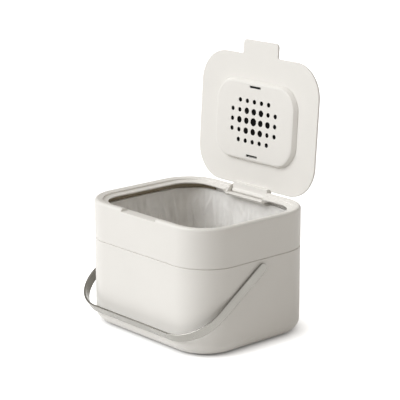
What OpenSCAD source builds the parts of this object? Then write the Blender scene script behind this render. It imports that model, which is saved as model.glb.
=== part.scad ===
// Compost caddy with a hinged lid, a lift-off collar, an odour filter in the lid and a folding steel handle.
// Millimetres. The origin is the centre of the base on the table, +Z up, the front faces -Y.
// The lid is drawn closed and then turned open about its hinge; the handle lies folded down in front.

/* [Body] */
// Outer width, side to side
body_w = 230; // [210:1:260]
// Outer depth, front to back
body_d = 189; // [175:1:215]
// Height of the rim above the table
body_h = 158.6; // [150:0.2:185]
// Corner radius of the body in plan
corner_r = 49.5; // [42:0.5:60]
// Height of the seam between bucket and collar
seam_z = 108.6; // [104:0.2:118]
// Open groove that shows at the seam
seam_gap = 0.8; // [0.5:0.1:1.2]
// Wall thickness of bucket and collar
wall = 2.4; // [2:0.1:2.8]
// Radius of the rounded lower edge
base_r = 14; // [10:0.5:18]
// Height of the base pad under the rounded edge
pad_h = 1.3; // [1:0.1:2.5]
// Inset of the base pad from the outer wall
pad_inset = 18; // [16:0.5:24]

/* [Collar rim] */
// Width of the sloping border round the lid
border_w = 10; // [9:0.2:12]
// Fall of the border from its outer to its inner edge
border_drop = 2.3; // [1.5:0.1:3]
// Radius of the rim's outer edge
rim_r = 3.5; // [2:0.5:4.5]
// Depth from the rim to the outer edge of the ledge that carries the lid
ledge_depth = 4.1; // [3.6:0.1:4.8]
// Width of the ledge
ledge_w = 7; // [6:0.2:9]
// Fall of the ledge towards the opening
ledge_drop = 1.5; // [0.5:0.1:2]
// Depth of the lip below the ledge's inner edge
lip_h = 2.2; // [2:0.2:4]
// Thickness of the lip
lip_t = 1.8; // [1.5:0.1:2.2]
// Depth of the notch that takes the lid's front tab
tab_notch_depth = 4.2; // [4:0.1:5]

/* [Neck and liner] */
// Running gap between the collar and the bucket's neck
neck_gap = 0.8; // [0.6:0.1:1.2]
// Wall of the neck
neck_t = 2; // [1.6:0.1:2.4]
// Room above the neck for the liner's fold
neck_head = 3.4; // [1.8:0.1:5]
// Thickness of the liner bag
bag_t = 0.8; // [0.6:0.1:1.3]
// Gap between the liner and the walls round it
bag_gap = 0.4; // [0.3:0.1:0.8]

/* [Lid] */
// Lid plate thickness
lid_t = 2.8; // [2.4:0.1:3.2]
// Clearance between lid and border, all round
lid_gap = 0.6; // [0.4:0.1:1]
// Clearance behind the lid, where its edge swings
lid_back_gap = 1.2; // [1.2:0.1:1.8]
// Corner radius of the lid in plan
lid_r = 42.5; // [38:0.5:46]
// Seating clearance between faces that rest on each other
seat_gap = 0.3; // [0.2:0.05:0.4]
// Width of the front tab
tab_w = 62; // [50:1:70]
// Length of the tab beyond the lid's edge
tab_len = 18.3; // [16:0.1:22]
// Corner radius of the tab
tab_r = 5; // [3:0.5:8]
// Opening angle of the lid at its stop
lid_open = 93.7; // [88:0.1:94]

/* [Hinge] */
// Width of the lid's hinge block
hinge_w = 62; // [50:1:70]
// Side clearance between hinge block and notch
hinge_gap = 1; // [0.6:0.1:1.5]
// Hinge axis, inwards from the back face
axis_in = 3.7; // [3.6:0.1:4]
// Hinge axis, below the rim
axis_drop = 7.6; // [7.2:0.1:8]
// Radius of the hinge barrel
barrel_r = 3.2; // [3:0.1:3.3]
// Radius of the hinge pin
pin_r = 1.25; // [1:0.05:1.5]
// Radial running clearance on the pin
pin_clear = 0.06; // [0.04:0.01:0.1]
// Length of pin held in each hinge ear
ear_len = 11; // [8:0.5:14]

/* [Filter] */
// Width of the filter cover
cover_w = 144; // [136:1:152]
// Depth of the filter cover
cover_d = 103.5; // [96:0.5:110]
// Height of the filter cover
cover_h = 5.8; // [5.2:0.1:7]
// Corner radius of the filter cover in plan
cover_r = 31; // [24:0.5:34]
// Width of the cover's sloping side
shoulder_w = 6.3; // [5:0.1:9]
// Radius of the edge between the cover's face and side
shoulder_r = 1.6; // [1:0.1:2.4]
// Wall of the cover
cover_t = 1.6; // [1.4:0.1:1.8]
// Centre of the cover, in front of the lid's middle
cover_fwd = 0.7; // [0:0.1:3]
// Distance between holes
hole_pitch = 12.7; // [12:0.1:14]
// Radius of the small holes
hole_r_small = 2.8; // [2.2:0.1:3.2]
// Radius of the large holes
hole_r_large = 4; // [3.4:0.1:4.4]
// Radius of the middle hole
hole_r_mid = 5; // [4.4:0.1:5.6]
// Distance of each clip slot from the cover's middle
slot_y = 44; // [42:0.5:46]
// Length of a clip slot
slot_len = 19.5; // [14:0.5:24]
// Width of a clip slot
slot_w = 2.6; // [2:0.1:3]
// Thickness of the carbon filter pad
filter_t = 3; // [2:0.1:3.4]
// Width of the carbon filter pad
filter_w = 104; // [96:1:110]
// Depth of the carbon filter pad
filter_d = 74; // [68:1:78]
// Width of the gasket round the pad
gasket_w = 2.4; // [2:0.1:3]

/* [Handle] */
// Height of the handle's pivots
pivot_z = 98; // [90:0.5:100]
// Gap between the front wall and the middle of the folded handle's crossbar
front_gap = 9.8; // [8:0.1:14]
// Width of the strap
strap_w = 12.5; // [10:0.5:14]
// Thickness of the strap
strap_t = 1.6; // [1.2:0.1:2]
// Gap between the body and the strap
strap_gap = 0.8; // [0.6:0.1:1.5]
// Outer radius of the strap's two bends
bend_r = 48.5; // [36:0.5:60]
// Angle of the folded handle below level
fold_angle = 34.7; // [30:0.1:38]
// Radius of a pivot stud
stud_r = 3; // [2.5:0.1:3.5]
// Radial running clearance of a stud in its bush
stud_clear = 0.06; // [0.04:0.01:0.1]
// Outer radius of a bush
bush_r = 4.6; // [4.2:0.1:5]
// Radius of a bush flange
flange_r = 6; // [5.6:0.1:7]
// Thickness of a bush flange
flange_t = 0.5; // [0.4:0.05:0.6]
// Radius of a retaining clip
clip_r = 5.2; // [4.4:0.1:6]
// Thickness of a retaining clip
clip_t = 0.8; // [0.6:0.1:1.2]

/* [Hidden] */
$fn = 72;

plastic = [0.93, 0.92, 0.90];
steel = [0.70, 0.69, 0.66];
over = 1;                                       // how far a cut runs past the face it opens
arc_steps = 6;                                  // straight steps in a quarter of a rounded edge

collar_z = seam_z + seam_gap / 2;               // lower edge of the collar
bucket_top = seam_z - seam_gap / 2;             // upper edge of the bucket's outer wall
shoulder_top = collar_z - seat_gap;             // shoulder inside the groove that carries the collar
groove_w = wall / 2;                            // depth of the seam groove
border_z = body_h - border_drop;                // inner edge of the border
ledge_z = body_h - ledge_depth;                 // outer edge of the ledge
opening_inset = border_w + ledge_w;             // opening's edge, from the outer wall
ledge_in_z = ledge_z - ledge_drop;
lip_z = ledge_in_z - lip_h;                     // lower edge of the lip
floor_t = lip_t;                                // plate under a notch, and under the ledge

neck_inset = wall + neck_gap;                   // outer face of the neck
neck_in = neck_inset + neck_t;                  // inner face of the neck
floor_z = pad_h + wall;                         // inside of the bucket's floor

lid_z = ledge_z + seat_gap;                     // underside of the closed lid
lid_top = lid_z + lid_t;
lid_w = body_w - 2 * (border_w + lid_gap);
lid_front = border_w + lid_gap - body_d / 2;    // front edge of the closed lid
lid_back = body_d / 2 - border_w - lid_back_gap;
lid_d = lid_back - lid_front;

axis_y = body_d / 2 - axis_in;
axis_z = body_h - axis_drop;
notch_w = hinge_w + 2 * hinge_gap;
notch_z = axis_z - barrel_r - 2 * seat_gap;     // floor of the hinge notch, the opened block's stop
pin_len = notch_w + 2 * ear_len;
pin_fit = 0.03;                                 // radial clearance of a pin or stud in what holds it
block_overlap = 3;                              // how far the hinge block runs in under the lid
block_t = 1.6;                                  // depth of the block below the hinge axis
tab_z = body_h - tab_notch_depth;               // floor of the tab's notch

neck_z = notch_z - floor_t - neck_head;         // top of the neck

cover_base = lid_z - seat_gap;                  // the cover hangs below this face
cover_face = lid_z - cover_h;
inner_face = cover_face + cover_t;
cover_tilt = atan2(cover_base - cover_face, shoulder_w); // slope of the cover's side
face_inset = shoulder_w + shoulder_r * tan(cover_tilt / 2); // where the cover's flat face begins
pad_r = cover_r - shoulder_w - cover_t;         // corner radius of the filter pad
gasket_top = inner_face + filter_t;
frame_z = gasket_top + seat_gap;                // underside of the clip frame
vent_w = filter_w - 24;                         // slots in the lid, above the pad
vent_h = 3;
vent_rows = 2;                                  // rows of vent slots each side of the middle one

wall_x = body_w / 2;
strap_x = wall_x + strap_gap;                   // inner face of the strap's arms
reach = (body_d / 2 + front_gap) / cos(fold_angle) + strap_t; // from the pivots to the crossbar's outside
stud_in = wall_x - wall - clip_t - 2 * seat_gap;

// ---- shapes that repeat ------------------------------------------------------------------------

// A rounded rectangle of width w, depth d and corner radius r
module round_rect(w, d, r) {
    square([w - 2 * r, d], center = true);
    square([w, d - 2 * r], center = true);
    for (x = [-1, 1], y = [-1, 1]) translate([x * (w / 2 - r), y * (d / 2 - r)]) circle(r);
}

// A flat plate with that outline
module plate(w, d, r, h) {
    linear_extrude(h) round_rect(w, d, r);
}

// Carries a profile once round a rounded rectangle. The profile's x is minus the inset, its y is the height.
module carry_round(w, d, r) {
    for (k = [0 : 3]) rotate([0, 0, 90 * k]) {
        along = k % 2 == 0 ? w : d;
        across = k % 2 == 0 ? d : w;
        translate([0, across / 2, 0]) rotate([90, 0, 90])
            linear_extrude(along - 2 * r, center = true) children();
        translate([along / 2 - r, across / 2 - r, 0])
            rotate_extrude(angle = 90) translate([r, 0]) children();
    }
}

// Points of an elliptical arc about (cx, cy) from angle a0 to a1
function arc(cx, cy, rx, ry, a0, a1) =
    [for (i = [0 : arc_steps]) let (a = a0 + (a1 - a0) * i / arc_steps) [cx + rx * cos(a), cy + ry * sin(a)]];

// Turns the closed lid open about its hinge
module opened() {
    translate([0, axis_y, axis_z]) rotate([-lid_open, 0, 0]) translate([0, -axis_y, -axis_z]) children();
}

// Extrudes a profile drawn in Y and Z along X, centred
module along_x(len) {
    rotate([90, 0, 90]) linear_extrude(len, center = true) children();
}

// A rod of radius r along X through (y, z), centred
module rod_x(y, z, r, len) {
    translate([0, y, z]) rotate([0, 90, 0]) cylinder(r = r, h = len, center = true);
}

// A disc round the handle's pivot on side s, between the distances a and b from the middle
module pivot_disc(s, r, a, b) {
    translate([s * (a + b) / 2, 0, pivot_z]) rotate([0, 90, 0]) cylinder(r = r, h = b - a, center = true);
}

// ---- bucket ------------------------------------------------------------------------------------

// Section of the bucket's wall, from the base's rounded edge to the top of the neck
module bucket_profile() {
    cz = pad_h + base_r;
    polygon(concat(
        arc(-base_r, cz, base_r, base_r, 0, -90),
        arc(-base_r, cz, base_r - wall, base_r - wall, -90, 0),
        [[-wall, shoulder_top - neck_in], [-neck_in, shoulder_top - wall],
         [-neck_in, neck_z], [-neck_inset, neck_z], [-neck_inset, shoulder_top],
         [-groove_w, shoulder_top], [-groove_w, bucket_top], [0, bucket_top]]));
}

module bucket() {
    color(plastic) difference() {
        union() {
            carry_round(body_w, body_d, corner_r) bucket_profile();
            translate([0, 0, pad_h])
                plate(body_w - 2 * base_r, body_d - 2 * base_r, corner_r - base_r, wall);
            plate(body_w - 2 * pad_inset, body_d - 2 * pad_inset, corner_r - pad_inset, pad_h + wall / 2);
        }
        for (s = [-1, 1]) pivot_disc(s, bush_r, wall_x - wall - over, wall_x + over);
    }
}

// A flanged bush in the bucket's wall, on side s
module bush(s) {
    color([0.80, 0.80, 0.78]) difference() {
        union() {
            pivot_disc(s, bush_r, wall_x - wall, wall_x + flange_t);
            pivot_disc(s, flange_r, wall_x, wall_x + flange_t);
        }
        pivot_disc(s, stud_r + stud_clear, wall_x - wall - over, wall_x + flange_t + over);
    }
}

module bush_left() { bush(-1); }
module bush_right() { bush(1); }

// The film bag: a thin cup whose upper edge folds out over the neck
module liner_bag() {
    side = neck_in + bag_gap;
    rim = neck_z + seat_gap;
    cz = pad_h + base_r;
    drop = base_r - wall - bag_gap;
    color([0.90, 0.90, 0.89]) {
        carry_round(body_w, body_d, corner_r) polygon(concat(
            [[-side, rim], [-neck_inset, rim], [-neck_inset, rim + bag_t], [-side - bag_t, rim + bag_t]],
            arc(-base_r, cz, base_r - side - bag_t, drop - bag_t, 0, -90),
            arc(-base_r, cz, base_r - side, drop, -90, 0)));
        translate([0, 0, cz - drop])
            plate(body_w - 2 * base_r, body_d - 2 * base_r, corner_r - base_r, bag_t);
    }
}

// ---- collar ------------------------------------------------------------------------------------

// Outline of the rim's upper side, from the outer wall over the border and the ledge to the opening
function rim_top() = concat(
    arc(-rim_r, body_h - rim_r, rim_r, rim_r, 0, 90),
    [[-border_w, border_z], [-border_w, ledge_z], [-opening_inset, ledge_in_z]]);

// Section of the collar: outer wall, cored border, ledge and lip
module collar_profile() {
    core_x = -border_w + wall;
    polygon(concat([[0, collar_z]], rim_top(), [
        [-opening_inset, lip_z], [-opening_inset + lip_t, lip_z],
        [-opening_inset + lip_t, ledge_in_z - floor_t], [core_x, ledge_z - floor_t],
        [core_x, border_z - wall], [-rim_r, body_h - wall - floor_t], [-wall, body_h - rim_r - wall],
        [-wall, collar_z]]));
}

// A solid stretch of the rim, of length len and down to height z0, at the back
module rim_bed(len, z0) {
    translate([0, body_d / 2, 0]) along_x(len)
        polygon(concat([[0, z0]], rim_top(), [[-opening_inset, z0]]));
}

// A block that opens a notch of width w and depth d from the rim's outer face, down to height z0
module rim_notch(w, d, z0) {
    translate([-w / 2, body_d / 2 - d, z0]) cube([w, d + over, body_h - z0 + over]);
}

module collar() {
    tab_slot = tab_w + 2 * lid_gap;
    color(plastic) difference() {
        union() {
            carry_round(body_w, body_d, corner_r) collar_profile();
            rim_bed(pin_len, notch_z - floor_t);
            rotate(180) rim_bed(tab_slot + 2 * wall, tab_z - floor_t);
        }
        rim_notch(notch_w, opening_inset - lip_t, notch_z);
        rotate(180) rim_notch(tab_slot, border_w + lid_gap, tab_z);
        rod_x(axis_y, axis_z, pin_r + pin_fit, pin_len + over);
    }
}

module hinge_pin() {
    color(steel) rod_x(axis_y, axis_z, pin_r, pin_len);
}

// ---- lid and filter ----------------------------------------------------------------------------

// Section of the hinge block: it runs in under the lid, round the pin and up to the rim's outer edge
module hinge_block_profile() {
    front = lid_back - block_overlap;
    back = axis_y + barrel_r;
    crown = body_h - seat_gap;
    translate([axis_y, axis_z]) circle(barrel_r);
    polygon([[front, lid_top], [front, axis_z - block_t], [axis_y, axis_z - block_t], [axis_y, axis_z],
             [back, axis_z], [back, crown - barrel_r], [back - barrel_r / 2, crown], [lid_back, lid_top]]);
}

// Where a slot's clip or a hole row sits, seen from the cover's middle
module on_cover() {
    translate([0, -cover_fwd, 0]) children();
}

module lid() {
    tab_reach = tab_len + tab_r;
    color(plastic) opened() difference() {
        union() {
            translate([0, 0, lid_z]) linear_extrude(lid_t) {
                translate([0, (lid_front + lid_back) / 2]) round_rect(lid_w, lid_d, lid_r);
                translate([0, lid_front - tab_len + tab_reach / 2]) round_rect(tab_w, tab_reach, tab_r);
            }
            along_x(hinge_w) hinge_block_profile();
        }
        rod_x(axis_y, axis_z, pin_r + pin_clear, hinge_w + over);
        on_cover() for (k = [-vent_rows : vent_rows]) translate([0, k * hole_pitch, lid_z - over])
            plate(vent_w, vent_h, vent_h / 2 - seat_gap, lid_t + 2 * over);
    }
}

// The flat frame under the lid, with the two tongues that the cover's slots clip on
module clip_frame() {
    tongue_w = slot_len - 2 * seat_gap;
    tongue_t = slot_w - 4 * seat_gap;
    rib = slot_y + slot_w - filter_d / 2;
    color(plastic) opened() on_cover() {
        difference() {
            translate([0, 0, frame_z])
                plate(filter_w + 2 * rib, filter_d + 2 * rib, pad_r + rib, lid_z - frame_z);
            translate([0, 0, frame_z - over]) plate(filter_w, filter_d, pad_r, lid_z - frame_z + 2 * over);
        }
        for (s = [-1, 1]) translate([-tongue_w / 2, s * slot_y - tongue_t / 2, cover_face + seat_gap])
            cube([tongue_w, tongue_t, lid_z - cover_face - seat_gap]);
    }
}

// Section of the cover's sloping side, with a rounded edge towards the face
module cover_profile() {
    polygon(concat(
        [[0, cover_base]],
        arc(-face_inset, cover_face + shoulder_r, shoulder_r, shoulder_r, cover_tilt - 90, -90),
        [[-face_inset, inner_face], [-cover_t / sin(cover_tilt), cover_base]]));
}

// Radius of the hole in column i and row j
function hole_r(i, j) = i == 0 && j == 0 ? hole_r_mid : abs(i) + abs(j) < 3 && abs(j) < 2 ? hole_r_large : hole_r_small;

module filter_cover() {
    flat_w = cover_w - 2 * face_inset;
    flat_d = cover_d - 2 * face_inset;
    color(plastic) opened() on_cover() difference() {
        union() {
            carry_round(cover_w, cover_d, cover_r) cover_profile();
            translate([0, 0, cover_face]) plate(flat_w, flat_d, cover_r - face_inset, cover_t);
        }
        translate([0, 0, cover_face - over]) {
            for (j = [-2 : 2], i = [-3 : 3]) if (abs(i) + abs(j) < 5)
                translate([i * hole_pitch, j * hole_pitch, 0]) cylinder(r = hole_r(i, j), h = cover_t + 2 * over);
            for (s = [-1, 1]) translate([-slot_len / 2, s * slot_y - slot_w / 2, 0])
                cube([slot_len, slot_w, cover_h]);
        }
    }
}

module filter_pad() {
    color([0.10, 0.10, 0.10]) opened() on_cover() translate([0, 0, inner_face])
        plate(filter_w, filter_d, pad_r, filter_t);
}

module filter_gasket() {
    color([0.55, 0.55, 0.54]) opened() on_cover() translate([0, 0, inner_face]) difference() {
        plate(filter_w + 2 * gasket_w, filter_d + 2 * gasket_w, pad_r + gasket_w, filter_t);
        translate([0, 0, -over])
            plate(filter_w + seat_gap, filter_d + seat_gap, pad_r + seat_gap / 2, filter_t + 2 * over);
    }
}

// ---- handle ------------------------------------------------------------------------------------

// The strap's outline, drawn in by off
module strap_outline(off) {
    round_rect(2 * (strap_x + strap_t - off), 2 * (reach - off), bend_r - off);
}

module handle_strap() {
    half = strap_x + strap_t + over;
    color(steel) translate([0, 0, pivot_z]) rotate([180 + fold_angle, 0, 0]) intersection() {
        linear_extrude(strap_w, center = true) difference() {
            strap_outline(0);
            strap_outline(strap_t);
        }
        union() {
            rod_x(0, 0, strap_w / 2, 2 * half);
            translate([-half, 0, -strap_w]) cube([2 * half, reach + over, 2 * strap_w]);
        }
    }
}

// A stud welded inside the strap's end, on side s
module stud(s) {
    color(steel) pivot_disc(s, stud_r, stud_in, strap_x);
}

// A push-on clip that keeps a stud in its bush, on side s
module stud_clip(s) {
    outside = wall_x - wall - seat_gap;
    color([0.55, 0.55, 0.55]) difference() {
        pivot_disc(s, clip_r, outside - clip_t, outside);
        pivot_disc(s, stud_r + pin_fit, outside - clip_t - over, outside + over);
    }
}

module stud_left() { stud(-1); }
module stud_right() { stud(1); }
module stud_clip_left() { stud_clip(-1); }
module stud_clip_right() { stud_clip(1); }

bucket();
bush_left();
bush_right();
liner_bag();
collar();
hinge_pin();
lid();
clip_frame();
filter_cover();
filter_pad();
filter_gasket();
handle_strap();
stud_left();
stud_right();
stud_clip_left();
stud_clip_right();
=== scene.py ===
"""Dresses the compost caddy: satin plastic shells, creased liner film, vented filter cover and brushed strap handle.

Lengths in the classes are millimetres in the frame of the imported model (+Z up, the front faces -Y); a mesh is written
in metres. The lid's pieces are worked out closed and turned open about the hinge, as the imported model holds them.
"""

from __future__ import annotations

import logging
import math
from collections.abc import Callable, Sequence
from dataclasses import dataclass
from enum import Enum

import bmesh
import bpy
import numpy as np
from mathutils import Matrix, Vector
from mathutils.geometry import tessellate_polygon


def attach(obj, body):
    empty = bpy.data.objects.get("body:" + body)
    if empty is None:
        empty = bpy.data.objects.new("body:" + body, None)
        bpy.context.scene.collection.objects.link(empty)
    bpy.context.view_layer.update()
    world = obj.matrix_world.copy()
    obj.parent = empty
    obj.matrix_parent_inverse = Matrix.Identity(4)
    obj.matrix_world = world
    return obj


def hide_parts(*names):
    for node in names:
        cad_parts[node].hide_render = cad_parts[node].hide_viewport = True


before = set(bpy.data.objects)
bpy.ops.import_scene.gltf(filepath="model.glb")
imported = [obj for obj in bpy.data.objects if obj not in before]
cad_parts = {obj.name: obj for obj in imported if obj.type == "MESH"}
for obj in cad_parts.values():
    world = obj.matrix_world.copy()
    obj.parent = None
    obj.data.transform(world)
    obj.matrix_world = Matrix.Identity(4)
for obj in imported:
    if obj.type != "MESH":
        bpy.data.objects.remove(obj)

Array = np.ndarray
Placement = Callable[[Array], Array]
Spread = tuple[Array, Array] | None
Line = tuple[tuple[float, float], ...]
Colour = tuple[float, float, float]
Socket = bpy.types.NodeSocket
MM = 0.001
log = logging.getLogger("caddy")


class Body(Enum):
    """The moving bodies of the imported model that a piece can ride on."""

    BUCKET = "bucket"
    COLLAR = "collar"
    LID = "lid"
    COVER = "filter_cover"
    HANDLE = "handle"


# ---- plane curves ------------------------------------------------------------------------------


@dataclass(frozen=True)
class Outline:
    """A closed curve, anticlockwise, as points and outward unit normals of the same count."""

    points: Array
    normals: Array

    def inset(self, depth: float) -> Array:
        """Returns the curve moved inwards by depth along its normals."""
        return self.points - depth * self.normals

    def moved(self, x: float, y: float) -> Outline:
        """Returns the curve moved by (x, y)."""
        return Outline(self.points + np.array([x, y]), self.normals)


def arcs(back: Array, at: Array, ahead: Array, radii: Array, steps: int) -> tuple[Array, Array]:
    """Works out the arcs that round a row of corners.

    An arc's centre lies on the corner's bisector at radius / sin(half the corner's angle), and it starts and ends
    radius / tan(half the angle) from the corner. Its angles run evenly from one tangent point to the other.

    Args:
        back: the points before the corners, shape (k, 2).
        at: the corners.
        ahead: the points after them.
        radii: the arcs' radii, shape (k,).
        steps: points on each arc.

    Returns:
        Points and unit normals, shape (k, steps, 2), the normals to the right of the way along.
    """
    back, ahead = back - at, ahead - at
    back = back / np.linalg.norm(back, axis=1, keepdims=True)
    ahead = ahead / np.linalg.norm(ahead, axis=1, keepdims=True)
    half = np.arccos(np.clip((back * ahead).sum(1), -1, 1)) / 2
    bisector = back + ahead
    bisector /= np.linalg.norm(bisector, axis=1, keepdims=True)
    centre = at + bisector * (radii / np.sin(half))[:, None]
    first = at + back * (radii / np.tan(half))[:, None] - centre
    last = at + ahead * (radii / np.tan(half))[:, None] - centre
    start = np.arctan2(first[:, 1], first[:, 0])
    turn = (np.arctan2(last[:, 1], last[:, 0]) - start + np.pi) % (2 * np.pi) - np.pi
    angle = start[:, None] + turn[:, None] * np.linspace(0, 1, steps)
    ray = np.stack([np.cos(angle), np.sin(angle)], -1)
    return centre[:, None] + radii[:, None, None] * ray, ray * np.sign(turn)[:, None, None]


def rounded(corners: Sequence[Sequence[float]], radii: Sequence[float] | float, steps: int = 6) -> Outline:
    """Rounds each corner of a closed polygon with an arc.

    Args:
        corners: the polygon's corners, anticlockwise.
        radii: one radius for each corner, or one for all.
        steps: points on each arc.

    Returns:
        The rounded outline, with the arcs' own normals, turned outwards on inner corners too.
    """
    p = np.asarray(corners, float)
    r = np.broadcast_to(np.asarray(radii, float), (len(p),))
    points, normals = arcs(np.roll(p, 1, 0), p, np.roll(p, -1, 0), r, steps)
    return Outline(points.reshape(-1, 2), normals.reshape(-1, 2))


def section(corners: Sequence[Sequence[float]], radii: Sequence[float], steps: int = 8) -> Array:
    """Rounds the inner corners of an open line.

    Args:
        corners: the line's corners with both of its ends.
        radii: the radii of the corners between the ends.
        steps: points on each arc.

    Returns:
        The line's points, shape (1 + steps * len(radii) + 1, 2).
    """
    p = np.asarray(corners, float)
    points, _ = arcs(p[:-2], p[1:-1], p[2:], np.asarray(radii, float), steps)
    return np.concatenate([p[:1], points.reshape(-1, 2), p[-1:]])


def bar(half_x: float, half_y: float, radius: float, steps: int) -> Outline:
    """Returns a rectangle about the origin, given by its half sizes, with rounded corners."""
    corners = [(-half_x, -half_y), (half_x, -half_y), (half_x, half_y), (-half_x, half_y)]
    return rounded(corners, radius, steps)


def quarter(radius: float, steps: int) -> tuple[Array, Array]:
    """Returns a quarter round as its distances from two lines: 0 up to radius, and radius down to 0."""
    t = np.linspace(0, np.pi / 2, steps)
    return radius * (1 - np.cos(t)), radius * (1 - np.sin(t))


def rounded_rectangle(
    width: float,
    depth: float,
    radius: float,
    arc: int = 28,
    side: int = 7,
    front: Sequence[float] = (),
    back: Sequence[float] = (),
) -> Outline:
    """A rectangle with quarter circles at its corners and evenly spread points on its sides.

    Args:
        width: its size along x.
        depth: its size along y.
        radius: the corners' radius.
        arc: steps in a corner.
        side: points inside each straight side.
        front: further x positions for points on the side at -y.
        back: the same for the side at +y.

    Returns:
        The outline, anticlockwise from the corner at +x, -y.
    """
    hx, hy = width / 2 - radius, depth / 2 - radius
    angle = np.linspace(0, np.pi / 2, arc + 1)
    along = np.linspace(-1, 1, side + 2)[1:-1]
    runs: list[tuple[Array, Array]] = []
    for turn, cx, cy, extra in ((-1, hx, -hy, ()), (0, hx, hy, back), (1, -hx, hy, ()), (2, -hx, -hy, front)):
        ray = np.stack([np.cos(angle + turn * np.pi / 2), np.sin(angle + turn * np.pi / 2)], -1)
        runs.append((np.array([cx, cy]) + radius * ray, ray))
        out = ray[-1]
        if turn in (-1, 1):
            spots = np.stack([np.full(side, out[0] * width / 2), -turn * along * hy], -1)
        else:
            xs = np.unique(np.concatenate([along * hx, np.asarray(extra, float)]))
            xs = xs[::-1] if turn == 0 else xs
            spots = np.stack([xs, np.full(len(xs), out[1] * depth / 2)], -1)
        runs.append((spots, np.broadcast_to(np.round(out), spots.shape)))
    return Outline(np.concatenate([a for a, _ in runs]), np.concatenate([b for _, b in runs]))


# ---- meshes ------------------------------------------------------------------------------------


def swept(outline: Outline, insets: Array, heights: Array) -> Array:
    """Carries a profile round an outline.

    Point (i, j) is outline point i moved inwards by inset j, at height j. Insets and heights may also be given for
    each outline point by themselves, as arrays with one row for each.

    Args:
        outline: the path.
        insets: distances inwards from the path, shape (m,) or (n, m).
        heights: heights, of the same shape.

    Returns:
        Points of shape (n, m, 3).
    """
    n = len(outline.points)
    a = np.broadcast_to(insets, (n, np.shape(insets)[-1]))
    z = np.broadcast_to(heights, a.shape)
    plan = outline.points[:, None] - a[..., None] * outline.normals[:, None]
    return np.concatenate([plan, z[..., None]], -1)


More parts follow.
